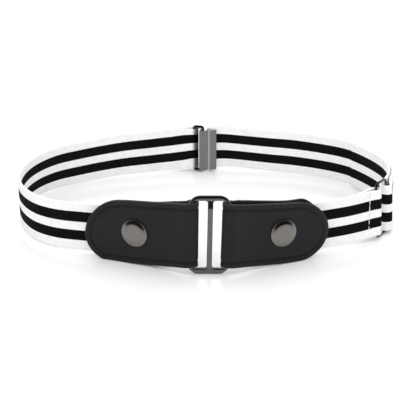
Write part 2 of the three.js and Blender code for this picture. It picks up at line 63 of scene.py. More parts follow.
# Plan lines of the three lengths of elastic: place, height of the middle, and how far the upper
# edge leans outwards, all in millimetres.
LEFT_BAND = (
    (-62.2, 25.7, 14.3, 0), (-76.5, 33.1, 13.05, 0), (-86.8, 40.7, 13.0, 0.3), (-94.0, 51.5, 13.1, 0.8),
    (-98.3, 64.5, 13.1, 0.6), (-99.5, 78.0, 13.3, -0.8), (-97.6, 92.0, 13.5, -2.2),
    (-92.6, 105.6, 13.35, -3.0), (-84.2, 117.4, 13.2, -2.4), (-74.2, 125.6, 13.0, -1.8),
    (-61.6, 133.2, 13.2, -1.8), (-48.4, 139.0, 13.6, -1.5), (-34.7, 143.3, 13.8, -1.2),
    (-21.0, 146.9, 14.1, -0.6), (-12.5, 147.9, 13.85, 0),
)
RIGHT_FRONT_BAND = (
    (61.0, 28.2, 14.8, 0), (70.0, 33.3, 14.4, 0), (79.0, 38.1, 14.65, 0), (83.3, 40.5, 14.95, 0),
)
RIGHT_BAND = (
    (1.13, 149.89, 14.5, 0), (4.78, 150.94, 14.5, 0), (9.0, 151.3, 14.5, -1.0), (14.5, 150.8, 14.3, -1.8),
    (24.5, 148.9, 13.9, -1.6), (36.0, 146.6, 13.4, -0.8), (48.7, 143.9, 13.1, -0.3),
    (62.2, 138.3, 13.0, -0.6), (75.2, 130.0, 13.1, 0), (84.4, 119.5, 13.4, 0), (91.6, 106.2, 13.6, 0),
    (96.1, 93.0, 14.0, 0), (97.9, 80.0, 14.4, 0), (96.8, 69.5, 14.2, 0), (95.2, 61.5, 14.1, 0),
)
# Adjusting end of the right band, from its turn round the side ring to its tip.
ADJUSTING_END = (
    (89.5, 55.6, 14.2, 0), (90.7, 58.6, 14.3, 0), (92.8, 63.2, 14.4, 0), (94.7, 69.0, 14.6, 0),
    (95.8, 75.5, 14.8, 0), (96.05, 82.0, 14.8, 0), (94.4, 92.8, 14.5, 0), (89.95, 105.5, 14.1, 0),
    (82.9, 118.5, 13.9, 0), (80.9, 121.2, 13.9, 0),
)

# Face of each tab's front layer, from the slide outwards: place in plan and height of its middle.
LEFT_FACE = (
    (-8.3, -2.9, 20.35, 0), (-10.4, -2.8, 20.25, 0), (-15.9, 0.7, 19.25, 0), (-25.7, 5.8, 17.9, 0),
    (-33.1, 9.4, 17.05, 0), (-41.5, 13.2, 16.1, 0), (-50.0, 16.6, 14.8, 0), (-61.5, 19.8, 13.1, 0),
)
RIGHT_FACE = (
    (10.1, -2.9, 20.1, 0), (12.3, -2.8, 20.0, 0), (17.9, 0.8, 18.9, 0), (27.6, 6.3, 17.25, 0),
    (37.6, 11.0, 16.1, 0), (45.1, 14.6, 15.45, 0), (60.5, 21.4, 14.85, 0),
)
# How much higher than the front layer the back layer lies, by distance from the fold.
LEFT_BACK_LIFT = (
    (0, 0.2), (3, 0.3), (7, 0.4), (11, 0.35), (15, -0.1), (19, -0.5), (23, -0.7), (30, -0.85), (55, -0.85),
)
RIGHT_BACK_LIFT = (
    (0, 0.2), (3, 0.4), (7, 1.4), (12, 1.5), (17, 1.25), (23, 1), (28, 0.7), (34, 0.6), (39, 0.85), (42, 1.05),
    (44, 0.95), (46, 0.45), (48, -0.1), (55, -0.1),
)
TABS = {
    "left": {
        "side": -1, "lean": 0.015, "slack": 1.5, "half_at_fold": 16.45, "half_at_end": 16.5, "flap": 57.4,
        "end_run": 17.6, "snap_at": 30.8, "snap_lift": 0, "back_lift": LEFT_BACK_LIFT, "face": LEFT_FACE,
    },
    "right": {
        "side": 1, "lean": 0.03, "slack": 0.7, "half_at_fold": 16.35, "half_at_end": 15.65, "flap": 55.3,
        "end_run": 17.9, "snap_at": 30, "snap_lift": 0.65, "back_lift": RIGHT_BACK_LIFT, "face": RIGHT_FACE,
    },
}

SLIDE = {
    "x": 0.55, "half": 10.55, "height": 40, "wire": 2.7, "top": 2.25, "bar": 2.55, "bar_shift": 0.35,
    "corner": 6, "slot": 1.2, "lean": 0.021,
}
SIDE_RING = {
    "front": (85.85, 44.2), "rear": (91.95, 53.7), "wire": 1.4, "height": 30.3, "corner": 2.8, "lean": -0.045,
}
CLASP_RING = {
    "front": (-2.93, 148.8), "rear": (-8.0, 150.45), "wire": 1.8, "height": 27.7, "corner": 1.15, "lean": 0,
}
HOOK = {"x": 0, "y": 147.3, "yaw": 0.28, "crease": 0.15, "bottom": 1.1, "top": 25.1}
# Fold of each band round its bar. `stripes` is how far the stripes climb on their way to the fold, and
# the last number is how much painted shade darkens the elastic in the turn, where the fold lies in shadow.
FOLDS = {
    "band_left": {
        "bar": CLASP_RING["rear"], "turn": 1, "radius": 1.85, "tail": 14, "lean": 0, "squeeze": 0.65,
        "stripes": 1.5, "soiled": 0.86,
    },
    "band_right_front": {
        "bar": SIDE_RING["front"], "turn": 1, "radius": 2.05, "tail": 13, "lean": SIDE_RING["lean"],
        "squeeze": 0.3, "stripes": 0, "soiled": 0,
    },
    "band_right": {
        "bar": SIDE_RING["rear"], "turn": -1, "radius": 2.75, "end": ADJUSTING_END, "lean": SIDE_RING["lean"],
        "squeeze": 0.3, "stripes": 0, "soiled": 0,
    },
}

# Leather tabs, in millimetres.
LEATHER = 1.3  # thickness of one layer
LEATHER_EDGE = 0.42  # rounding of its cut edge
TAB_STEP = 0.7  # between two columns of points along a tab
TAB_ROWS = 56  # of faces across a tab
TIP_STEPS = 48  # of the stitches' way round a tip
TIP_COLUMNS = 24  # of faces in a round end
PATH_STEP = 0.5  # of the stitches' way along a straight side
SEAM_START = 1.5  # from the fold to the first stitch of a layer
TAB_STITCH = 0.74  # length of a stitch, in pitches
TAB_PIVOT = 18  # height about which the tabs lean
BACK_LENGTH = 55  # of the back layer, from the fold
BACK_END_RUN = 15.5  # length of the back layer's round end
BACK_NARROWER = 0.4  # each half of the back layer's height is less by this much
TAPER_LENGTH = 36  # length over which a tab changes its height, from the fold outwards
FOLD_RUN = 10  # length over which the back layer settles behind the front layer
TAB_LEAN_RUN = 14  # length over which the lean of a tab's fold dies out
NARROWEST = 0.9  # half the height of a round end at its very tip
EDGE_HIGHLIGHT_RUN = 0.6  # width of the painted highlight along the cut edge
GROOVE_HALF = 0.55  # half the width of the stitch groove
SNAP_GAP = 1.5  # between the two layers at the snap
SLACK_Y = 0.3  # between the slide's wire and the leather round it
TABLE_GAP = 0.05  # between the table and the lowest edge of a tab

# Elastic, in millimetres.
ELASTIC = 1.4  # thickness
BAND_STEP = 0.8  # between two columns of points along a band
BAND_ROWS = 24  # of faces across a band
HIDDEN_RUN = 40  # length of a band that lies behind its tab
HIDDEN_STEP = 8  # between two rows of the line there
BAND_PIVOT = 13.5  # height about which the bands lean
BAND_START = 13  # from the start of a tab's face to the end of the band behind it
LAYER_GAP = 0.3  # between the band and its folded end
FACE_GAP = 0.27  # between a tab's back layer and its band
SQUEEZE_RUN = 8  # length over which a band gets its full width back, beside its fold
BAND_LEAN_RUN = 25  # length over which the lean of a fold dies out
CLOSING_RUN = 12  # length over which a folded end comes to lie against the band
CLIMB_RUN = 16  # length over which the stripes climb, before the fold
SEAM_FROM_FOLD = 6.1  # place of the row of stitches
SEAM_STITCHES = 7
FOLD_STITCH = 0.98  # length of a stitch there, in pitches

# Metal and snaps, in millimetres.
CAP_RADIUS = 6.95  # of a snap's cap
# How far each ring of a disc steps inwards, and how far it rises.
CAP_RINGS = (
    (0.45, 0), (0.3, 0.16), (0.4, 0.18), (0.5, 0.2), (0.45, 0.14), (0.5, 0.07), (1.0, 0.04), (1.4, 0.01),
)
STUD_RINGS = ((0.5, 0.3), (1.2, 0.08), (1.5, -0.35), (0.5, 0))
WIRE_HANDLE = 0.8  # length of the handles on the straight sides of a ring
NICK_RADIUS = 0.65  # of the notch at each end of the clasp's crease
DARK_REFLECTION = {"half": (2, 5), "height": 3.9}  # painted dark reflection on top of the slide's centre bar
CREASE_HIGHLIGHT = (-0.2, 0.9)  # where the painted highlight begins and ends, across the clasp's crease

WHITE = (1, 1, 1, 1)
ROOM_LIGHT = 1.05
LINE_STEP = 1  # millimetres between two points of a line beside another
SMOOTH_PARTS = 10  # of a smooth line, between two rows of its table
ARC_STEPS = 12  # of a turn round a bar
CIRCLE_HANDLE = 0.5523  # handle of a Bezier quarter circle of radius 1


def drawing_offset():
    """Where the drawing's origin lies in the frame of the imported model."""
    low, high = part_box("front_slide")
    middle = (low + high) / 2
    return Vector((middle.x - SLIDE["x"] * MM, middle.y, low.z))


OFFSET = drawing_offset()


def length_setting(name, default, description):
    return bpy.props.FloatProperty(name=name, description=description, default=default, unit="LENGTH")


def colour_setting(name, default, description):
    return bpy.props.FloatVectorProperty(
        name=name, description=description, default=(*default, 1), subtype="COLOR", size=4)


class BandSettings(bpy.types.PropertyGroup):
    """Sizes and colours of the elastic."""

    width: length_setting("Width", 0.025, "Width of the elastic")
    thickness: length_setting("Thickness", ELASTIC * MM, "Thickness of the elastic")
    edge: length_setting("Edge rounding", 0.0004, "Rounding of the woven edge")
    rib: length_setting("Rib spacing", 0.00105, "Distance between the ribs along the band")
    white: colour_setting("White yarn", (0.87, 0.87, 0.865), "Colour of the ground")
    black: colour_setting("Black yarn", (0.004, 0.004, 0.0045), "Colour of the stripes")


class TabSettings(bpy.types.PropertyGroup):
    """Sizes and colours of the leather tabs."""

    inset: length_setting("Stitch inset", 0.00285, "From the edge to the row of stitches")
    pitch: length_setting("Stitch pitch", 0.0031, "From one stitch to the next")
    thread: length_setting("Thread", 0.0005, "Thickness of the thread")
    groove: length_setting("Groove", 0.00026, "Depth of the groove that the stitches pull in")
    leather: colour_setting("Leather", (0.0102, 0.0107, 0.0122), "Colour of the leather")


class StudioSettings(bpy.types.PropertyGroup):
    """Camera and light."""

    distance: length_setting("Camera distance", 0.6046, "Level distance from the slide to the camera")
    height: length_setting("Camera height", 0.2659, "Height of the camera over the floor")
    pitch: bpy.props.FloatProperty(
        name="Camera pitch", description="How far the camera looks down",
        default=math.radians(21), unit="ROTATION")
    lens: bpy.props.FloatProperty(
        name="Lens", description="Focal length in millimetres on a 36 mm sensor", default=117.9)
    floor: colour_setting("Floor", (0.96, 0.96, 0.96), "Colour of the floor")


def placed(x, y):
    """A place in plan of the drawing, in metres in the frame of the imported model."""
    return Vector((x * MM + OFFSET.x, y * MM + OFFSET.y))


def row(plan, height, lean=0.0):
    """One point of a line: its place in plan, its height and its lean, all in metres."""
    return Vector((*plan, height, lean))


def millimetres(rows):
    """Rows of a table as points of a line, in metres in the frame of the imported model."""
    return [row(placed(x, y), z * MM + OFFSET.z, lean * MM) for x, y, z, lean in rows]


def ease(t):
    t = min(max(t, 0.0), 1.0)
    return t * t * (3 - 2 * t)


def mix(a, b, t):
    return a + (b - a) * t


class Line:
    """A line in plan with the height of the piece's middle and its lean, read by distance along it."""

    def __init__(self, points):
        self.points = [points[0]]
        for point in points[1:]:
            if (point.xy - self.points[-1].xy).length > 1e-6:
                self.points.append(point)
        self.reach = [0.0]
        for here, following in zip(self.points, self.points[1:]):
            self.reach.append(self.reach[-1] + (following.xy - here.xy).length)
        self.length = self.reach[-1]

    def span(self, distance):
        distance = min(max(distance, 0.0), self.length)
        i = 0
        while i < len(self.reach) - 2 and self.reach[i + 1] < distance:
            i += 1
        return i, (distance - self.reach[i]) / (self.reach[i + 1] - self.reach[i])

    def at(self, distance):
        i, part = self.span(distance)
        return self.points[i].lerp(self.points[i + 1], part)

    def left(self, distance):
        """Unit vector to the left of the line."""
        i, part = self.span(distance)
        ahead = (self.tangent(i).lerp(self.tangent(i + 1), part)).normalized()
        return Vector((-ahead.y, ahead.x))

    def tangent(self, i):
        before = self.points[max(i - 1, 0)].xy
        after = self.points[min(i + 1, len(self.points) - 1)].xy
        return (after - before).normalized()

    def beside(self, shift, start, end):
        """Points beside the line from start to end, `shift(distance)` to its left."""
        count = int(abs(end - start) / (LINE_STEP * MM))
        points = []
        for i in range(count + 1):
            distance = mix(start, end, i / count)
            here = self.at(distance)
            points.append(row(here.xy + self.left(distance) * shift(distance), here.z, here.w))
        return points


def smooth_line(rows):
    """A smooth line through rows, by the centripetal Catmull-Rom rule."""
    rows = [rows[0] * 2 - rows[1], *rows, rows[-1] * 2 - rows[-2]]
    points = []
    for a, b, c, d in zip(rows, rows[1:], rows[2:], rows[3:]):
        knots = [0.0]
        for p, q in ((a, b), (b, c), (c, d)):
            knots.append(knots[-1] + (q.xyz - p.xyz).length ** 0.5)
        for i in range(SMOOTH_PARTS):
            points.append(between_knots((a, b, c, d), knots, mix(knots[1], knots[2], i / SMOOTH_PARTS)))
    return Line([*points, rows[-2]])


def between_knots(rows, knots, at):
    """The point at one knot value, by repeated straight blends of four rows."""
    for spans in (((0, 1), (1, 2), (2, 3)), ((0, 2), (1, 3)), ((1, 2),)):
        rows = [
            mix(here, following, (at - knots[low]) / (knots[high] - knots[low]))
            for here, following, (low, high) in zip(rows, rows[1:], spans)
        ]
    return rows[0]


def folded_line(rows, fold):
    """A band's line with its turn round an upright bar and its end, and where the turn starts.

    The bar lies to the left of the line where the fold's turn is 1, and to its right where it is -1.
    """
    bar, turn, radius = placed(*fold["bar"]), fold["turn"], fold["radius"] * MM
    last = rows[-1]
    to_bar = bar - last.xy
    swing = -turn * math.asin(radius / to_bar.length)
    ahead = Matrix.Rotation(swing, 2) @ to_bar.normalized()
    touch = last.xy + ahead * math.sqrt(to_bar.length_squared - radius ** 2)
    line = smooth_line([*rows, row(touch, last.z)])
    inward = (bar - touch).normalized()
    onward = Vector((inward.y, -inward.x)) * turn
    arc = []
    for i in range(1, ARC_STEPS):
        angle = math.pi * i / ARC_STEPS
        out = inward * -math.cos(angle) + onward * math.sin(angle)
        arc.append(row(bar + out * radius, last.z))
    if "end" in fold:
        back = smooth_line([row(2 * bar - touch, last.z), *millimetres(fold["end"])]).points
    else:
        closed = band_settings().thickness + LAYER_GAP * MM

        def apart(distance):
            return turn * mix(2 * radius, closed, ease((line.length - distance) / (CLOSING_RUN * MM)))

        back = line.beside(apart, line.length, line.length - fold["tail"] * MM)
        for point in back:
            point.w = -point.w
    return Line([*line.points, *arc, *back]), line.length


def band_settings():
    return bpy.context.scene.belt_band


def tab_settings():
    return bpy.context.scene.belt_tab


def tab_layer(tab, depth, start, end):
    """Points behind the face of a tab's front layer, `depth(distance)` further in."""
    face = smooth_line(millimetres(tab["face"]))
    return face.beside(lambda distance: tab["side"] * depth(distance), start, end)


def face_place(tab, distance):
    """The point at a distance along a tab's face, in millimetres, and the level direction inwards there."""
    face = smooth_line(millimetres(tab["face"]))
    return face.at(distance * MM), face.left(distance * MM) * tab["side"]


def table_at(rows, distance):
    """Value of a table of distances and values, by straight lines between its rows."""
    for (start, low), (end, high) in zip(rows, rows[1:]):
        if distance <= end:
            return mix(low, high, (distance - start) / (end - start))
    return rows[-1][1]


def rows_behind(tab):
    """Rows for the start of a band, which lies on the back of a tab's back layer."""
    depth = (2 * LEATHER + SNAP_GAP + FACE_GAP) * MM + band_settings().thickness / 2
    rows = []
    for further in range(0, HIDDEN_RUN, HIDDEN_STEP):
        here, inward = face_place(tab, BAND_START + further)
        rows.append(row(here.xy + inward * depth, here.z))
    return rows


def added(operator, **values):
    """Runs an operator that adds an object, and returns the new object."""
    bpy.ops.object.select_all(action="DESELECT")
    operator(**values)
    return bpy.context.object


def make_active(piece):
    """Selects a piece alone."""
    bpy.ops.object.select_all(action="DESELECT")
    piece.select_set(True)
    bpy.context.view_layer.objects.active = piece


def modify(piece, kind, **values):
    """Puts one modifier on a piece and applies it."""
    modifier = piece.modifiers.new("Step", kind)
    for name, value in values.items():
        setattr(modifier, name, value)
    make_active(piece)
    bpy.ops.object.modifier_apply(modifier=modifier.name)


def settle(piece):
    """Puts the place, turn and size of an object into its mesh."""
    make_active(piece)
    bpy.ops.object.transform_apply(location=True, rotation=True, scale=True)


def select_parts(piece, kind, parts, wanted):
    """Leaves the piece in edit mode with only the wanted faces or edges selected."""
    make_active(piece)
    bpy.ops.object.mode_set(mode="EDIT")
    bpy.ops.mesh.select_mode(type=kind)
    bpy.ops.mesh.select_all(action="DESELECT")
    bpy.ops.object.mode_set(mode="OBJECT")
    for part in getattr(piece.data, parts):
        part.select = wanted(part)
    bpy.ops.object.mode_set(mode="EDIT")


def clean(piece, operator, **values):
    """Merges a piece's doubled points and runs one more mesh operator on all of it."""
    make_active(piece)
    bpy.ops.object.mode_set(mode="EDIT")
    bpy.ops.mesh.select_all(action="SELECT")
    bpy.ops.mesh.remove_doubles(threshold=1e-6)
    operator(**values)
    bpy.ops.object.mode_set(mode="OBJECT")


def round_edges(piece, width, segments, angle=50):
    """Rounds the edges of a piece that are sharper than the angle, in degrees."""
    modify(piece, "BEVEL", width=width, segments=segments, angle_limit=math.radians(angle))


def thicken(strip, thickness, edge, segments):
    """Gives a flat strip its thickness, half of it on each side, and soft edges."""
    modify(strip, "SOLIDIFY", thickness=thickness, offset=0)
    round_edges(strip, edge, segments, 60)


def join(pieces, name):
    """Makes one piece of several."""
    make_active(pieces[0])
    for piece in pieces[1:]:
        piece.select_set(True)
    bpy.ops.object.join()
    pieces[0].name = pieces[0].data.name = name
    return pieces[0]


def finish(piece, material, replaced=()):
    """Gives a finished piece its material, its smooth shading and its place on the belt."""
    piece.data.materials.clear()
    piece.data.materials.append(material)
    make_active(piece)
    bpy.ops.object.shade_smooth_by_angle(angle=math.radians(38))
    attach(piece, BODY)
    for node in replaced:
        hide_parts(node)


def flat_strip(name, columns, rows, edges, width):
    """A flat upright strip along +X, with a column of points at each distance in `columns`.

    edges(x) gives the heights of its lower and its upper edge, and its own UV map holds the distance
    along it, in widths, and the share of the way up.
    """
    strip = added(
        bpy.ops.mesh.primitive_grid_add,
        x_subdivisions=len(columns) - 1, y_subdivisions=rows, size=1, rotation=(math.pi / 2, 0, 0))
    strip.name = strip.data.name = name
    settle(strip)
    share = [0.0] * len(strip.data.vertices)
    for point in strip.data.vertices:
        x = columns[round((point.co.x + 0.5) * (len(columns) - 1))]
        share[point.index] = point.co.z + 0.5
        point.co = (x, 0, mix(*edges(x), share[point.index]))
    layer = strip.data.uv_layers[0]
    for loop in strip.data.loops:
        place = strip.data.vertices[loop.vertex_index].co
        layer.data[loop.index].uv = (place.x / width, share[loop.vertex_index])
    return strip


def bend(piece, line, pivot, width, shifts=()):
    """Bends a flat piece along a line in plan, then moves each point sideways by its shift.

    `pivot` is the height about which the piece leans, in millimetres over the table.
    """
    lift = pivot * MM + OFFSET.z
    guide = added(bpy.ops.curve.primitive_nurbs_path_add)
    guide.data.twist_mode = "Z_UP"
    guide.data.splines.clear()
    spline = guide.data.splines.new("POLY")
    spline.points.add(len(line.points) - 1)
    for knot, point in zip(spline.points, line.points):
        knot.co = (point.x, point.y, lift, 1)
        knot.tilt = -point.w / width
    piece.data.transform(Matrix.Translation((0, 0, -lift)))
    modify(piece, "CURVE", object=guide, deform_axis="POS_X")
    bpy.data.objects.remove(guide)
    for point, shift in zip(piece.data.vertices, shifts):
        point.co.x += shift


def weave_band(name, line, fold_at, fold):
    """A length of elastic, cut flat and laid along its line. An attribute holds the painted shade in its fold.
    """
    settings = band_settings()
    count = int(line.length / (BAND_STEP * MM))
    columns = [line.length * i / count for i in range(count + 1)]

    def edges(x):
        close = 1 - ease(abs(x - fold_at) / (SQUEEZE_RUN * MM))
        half = settings.width / 2 - fold["squeeze"] * MM * close
        return line.at(x).z - half, line.at(x).z + half

    band = flat_strip(name, columns, BAND_ROWS, edges, settings.width)
    climb = fold["stripes"] * MM / settings.width
    layer = band.data.uv_layers[0].data
    for loop in band.data.loops:
        before = fold_at - band.data.vertices[loop.vertex_index].co.x
        layer[loop.index].uv.y -= climb * (1 - ease(before / (CLIMB_RUN * MM)))
    thicken(band, settings.thickness, settings.edge, 2)
    soiled = band.data.attributes.new("soiled", "FLOAT", "POINT").data
    shifts = []
    for point in band.data.vertices:
        near = 1 - ease(abs(point.co.x - fold_at) / (BAND_LEAN_RUN * MM))
        shifts.append(fold["lean"] * near * (point.co.z - line.at(point.co.x).z))
        # It runs from 0 to 1 along the turn, and the painted shade fades in shortly before and out shortly
        # after that.
        into = (point.co.x - fold_at) / (math.pi * fold["radius"] * MM)
        soiled[point.index].value = fold["soiled"] * min(ease(into * 6 + 1.3), ease((1.1 - into) * 5))
    bend(band, line, BAND_PIVOT, settings.width, shifts)
    return band


def stitch_row(name, spots, size):
    """Small upright stitches on a flat pattern. Each spot is its x, y and z, and its turn in XZ."""
    length, thick = size
    first = added(bpy.ops.mesh.primitive_uv_sphere_add, segments=8, ring_count=6, radius=0.5)
    first.scale = (length, thick, thick)
    settle(first)
    stitches = []
    for x, y, z, turn in spots:
        stitch = first.copy()
        stitch.data = first.data.copy()
        bpy.context.scene.collection.objects.link(stitch)
        stitch.data.transform(Matrix.Translation((x, y, z)) @ Matrix.Rotation(-turn, 4, "Y"))
        stitches.append(stitch)
    bpy.data.objects.remove(first)
    return join(stitches, name)


def sew_fold(name, line, fold_at):
    """Two upright rows of stitches, one on each face, that hold a band's folded end."""
    settings = band_settings()
    tail_at = line.length - FOLDS["band_right_front"]["tail"] * MM
    pitch = settings.width / SEAM_STITCHES
    spots = []
    for x in (fold_at - SEAM_FROM_FOLD * MM, tail_at + SEAM_FROM_FOLD * MM):
        for i in range(SEAM_STITCHES):
            z = line.at(x).z - settings.width / 2 + pitch * (i + 0.5)
            spots.append((x, -settings.thickness / 2, z, math.pi / 2))
    thread = stitch_row(name, spots, (pitch * FOLD_STITCH, tab_settings().thread))
    bend(thread, line, BAND_PIVOT, settings.width)
    return thread


class Strip:
    """The flat pattern of a tab: its line when folded, its outline and where its layers begin."""

    def __init__(self, tab):
        self.tab = tab
        self.side = tab["side"]
        self.end_runs = (tab["end_run"] * MM, BACK_END_RUN * MM)
        self.end_half = tab["half_at_end"] * MM
        bar = placed(SLIDE["x"] + self.side * (SLIDE["half"] - SLIDE["wire"] / 2), 0)
        turn_x = (SLIDE["wire"] / 2 + tab["slack"] + LEATHER / 2) * MM
        turn_y = (SLIDE["wire"] / 2 + SLACK_Y + LEATHER / 2) * MM
        front = tab_layer(tab, lambda distance: LEATHER / 2 * MM, tab["flap"] * MM, 0)
        opening = 2 * turn_y - LEATHER * MM

        def depth(distance):
            return LEATHER * 1.5 * MM + mix(opening, SNAP_GAP * MM, ease(distance / (FOLD_RUN * MM)))

        back = tab_layer(tab, depth, 0, BACK_LENGTH * MM)
        for i, point in enumerate(back):
            point.z += table_at(tab["back_lift"], BACK_LENGTH * i / (len(back) - 1)) * MM
        turn = []
        for i in range(1, ARC_STEPS):
            angle = math.pi * (i / ARC_STEPS - 0.5)
            away = Vector((-self.side * turn_x * math.cos(angle), turn_y * math.sin(angle)))
            turn.append(row(bar + away, mix(front[-1].z, back[0].z, i / ARC_STEPS)))
        self.line = Line([*front, *turn, *back])
        self.front = Line(front).length
        self.back = Line(back).length

    def from_fold(self, x):
        """Distance from the fold, whichever layer x lies in."""
        if x < self.front:
            return self.front - x
        return max(x - (self.line.length - self.back), 0.0)

    def end_run(self, x):
        """Length of the round end of the layer that x lies in."""
        return self.end_runs[x > self.front]

    def into_end(self, x):
        """How far x reaches into one of the two ends, which are halves of an ellipse: 1 is the tip."""
        return 1 - min(x, self.line.length - x) / self.end_run(x)

    def half(self, x):
        tab = self.tab
        taper = min(self.from_fold(x) / (TAPER_LENGTH * MM), 1)
        straight = mix(tab["half_at_fold"], tab["half_at_end"], taper) * MM
        if x > self.front:
            straight -= BACK_NARROWER * MM * ease(self.from_fold(x) / (FOLD_RUN * MM))
        into_end = self.into_end(x)
        if into_end <= 0:
            return straight
        return max(straight * math.sqrt(max(1 - into_end ** 2, 0)), NARROWEST * MM)

    def edges(self, x):
        """Heights of the lower and the upper edge. The lower edge never reaches under the table."""
        middle = self.line.at(x).z
        return max(middle - self.half(x), OFFSET.z + TABLE_GAP * MM), middle + self.half(x)

    def columns(self):
        """Places of the columns, closer together towards the two tips."""
        shares = [1 - math.cos(math.pi / 2 * i / TIP_COLUMNS) for i in range(TIP_COLUMNS)]
        front, back = ([run * share for share in shares] for run in self.end_runs)
        straight = self.line.length - sum(self.end_runs)
        count = int(straight / (TAB_STEP * MM))
        middle = [self.end_runs[0] + straight * i / count for i in range(count + 1)]
        return [*front, *middle, *(self.line.length - x for x in reversed(back))]

    def from_edge(self, x, z):
        """Distance of a point of the pattern from its outline."""
        low, high = self.edges(x)
        into_end = self.into_end(x)
        if into_end <= 0:
            return min(z - low, high - z)
        up = z - self.line.at(x).z
        level = math.hypot(into_end, up / self.end_half)
        slope = math.hypot(into_end / self.end_run(x), up / self.end_half ** 2)
        return min((1 - level) * level / slope, z - OFFSET.z - TABLE_GAP * MM)


def cut_tab(name, strip):
    """A tab's leather: one flat strip with two round ends, a pressed stitch groove and soft edges.

    Its attributes mark the cut edge, which gets a painted highlight, and the groove, for its colour.
    """
    settings = tab_settings()
    width = 2 * strip.tab["half_at_fold"] * MM
    leather = flat_strip(name, strip.columns(), TAB_ROWS, strip.edges, width)
    thicken(leather, LEATHER * MM, LEATHER_EDGE * MM, 3)
    rim = leather.data.attributes.new("rim", "FLOAT", "POINT").data
    seam = leather.data.attributes.new("seam", "FLOAT", "POINT").data
    shifts = []
    for point in leather.data.vertices:
        inward = strip.from_edge(point.co.x, point.co.z)
        shifts.append(lean_shift(strip, point.co.x, point.co.z))
        rim[point.index].value = 1 - ease(inward / (EDGE_HIGHLIGHT_RUN * MM))
        if point.co.y * strip.side > 0.1 * MM:
            groove = math.exp(-((inward - settings.inset) / (GROOVE_HALF * MM)) ** 2)
            seam[point.index].value = groove
            point.co.y -= strip.side * settings.groove * groove
    bend(leather, strip.line, TAB_PIVOT, 1, shifts)
    return leather


def lean_shift(strip, x, z):
    """Sideways shift of a point of the pattern, where the tab leans at its fold."""
    near = 1 - ease(strip.from_fold(x) / (TAB_LEAN_RUN * MM))
    return strip.tab["lean"] * near * (z - strip.line.at(x).z)


def stitch_path(strip, tip, fold, inset):
    """Points on a layer, in from its edge: along the top to the tip, round it and back below."""
    into = 1 if tip < fold else -1
    end_run = strip.end_run(tip)
    centre = tip + into * end_run
    count = int(abs(fold - centre) / (PATH_STEP * MM))
    straight = [mix(fold, centre, i / count) for i in range(count + 1)]
    top = [Vector((x, strip.edges(x)[1] - inset)) for x in straight]
    below = [Vector((x, strip.edges(x)[0] + inset)) for x in reversed(straight)]
    tip_arc = []
    for i in range(1, TIP_STEPS):
        angle = math.pi * i / TIP_STEPS
        x = centre - into * (end_run - inset) * math.sin(angle)
        z = strip.line.at(x).z + (strip.end_half - inset) * math.cos(angle)
        tip_arc.append(Vector((x, max(z, strip.edges(x)[0] + inset))))
    return [*top, *tip_arc, *below]


def evenly_spaced(path, pitch):
    """Places at even steps along a path in a plane, each with the path's direction there."""
    spots = []
    due = pitch / 2
    for here, following in zip(path, path[1:]):
        run = following - here
        while due <= run.length:
            spots.append((here + run * (due / run.length), math.atan2(run.y, run.x)))
            due += pitch
        due -= run.length
    return spots


def sew_tab(name, strip):
    """The rows of stitches round both layers of a tab."""
    settings = tab_settings()
    depth = strip.side * (LEATHER / 2 * MM - settings.groove * 0.75)
    back_at = strip.line.length - strip.back
    spots = []
    for tip, fold in ((0, strip.front - SEAM_START * MM), (strip.line.length, back_at + SEAM_START * MM)):
        path = stitch_path(strip, tip, fold, settings.inset)
        for place, turn in evenly_spaced(path, settings.pitch):
            spots.append((place.x, depth, place.y, turn))
    thread = stitch_row(name, spots, (settings.pitch * TAB_STITCH, settings.thread))
    shifts = [lean_shift(strip, point.co.x, point.co.z) for point in thread.data.vertices]
    bend(thread, strip.line, TAB_PIVOT, 1, shifts)
    return thread


def snap_place(tab):
    """Matrix of a snap whose origin lies on the front layer's face and whose +Z points outwards."""
    here, inward = face_place(tab, tab["snap_at"])
    turn = Vector((0, 0, 1)).rotation_difference(Vector((-inward.x, -inward.y, 0)))
    lift = Vector((0, 0, tab["snap_lift"] * MM))
    return Matrix.Translation(here.xyz + lift) @ turn.to_matrix().to_4x4()


def turned_disc(radius, low, high, rings, segments):
    """A disc from low to high, in millimetres, whose upper face steps inwards by rings of (inset, rise)."""
    disc = added(
        bpy.ops.mesh.primitive_cylinder_add,
        vertices=segments, radius=radius * MM, depth=(high - low) * MM, location=(0, 0, (low + high) / 2 * MM))
    settle(disc)
    select_parts(disc, "FACE", "polygons", lambda face: face.normal.z > 0.9)
    for inset, rise in rings:
        bpy.ops.mesh.inset(thickness=inset * MM, depth=rise * MM)
    bpy.ops.object.mode_set(mode="OBJECT")
    return disc


def snap_half(name, place, edge, discs):
    """One half of a snap: its discs as one piece with soft edges, put in its place."""
    whole = join(discs, name)
    round_edges(whole, edge * MM, 2)
    whole.data.transform(place)
    return whole


def snap_cap(name, place):
    """A snap's cap, its shank through the front layer and its socket between the layers."""
    cap = turned_disc(CAP_RADIUS, 0.27, 0.67, CAP_RINGS, 64)
    shank = turned_disc(2.6, -1.6, 0.3, (), 32)
    socket = turned_disc(5, -2.55, -1.57, ((0.4, 0),), 48)
    return snap_half(name, place, 0.12, [cap, shank, socket])


def snap_stud(name, place):
    """A snap's hidden stud: its post and the disc that lies on the inside of the band."""
    depth = 2 * LEATHER + SNAP_GAP + 2 * FACE_GAP + ELASTIC
    post = turned_disc(1.6, -depth - 0.4, -0.9, (), 24)
    disc = turned_disc(5.5, depth, depth + 0.6, STUD_RINGS, 48)
    disc.data.transform(Matrix.Rotation(math.pi, 4, "X"))
    return snap_half(name, place, 0.1, [post, disc])


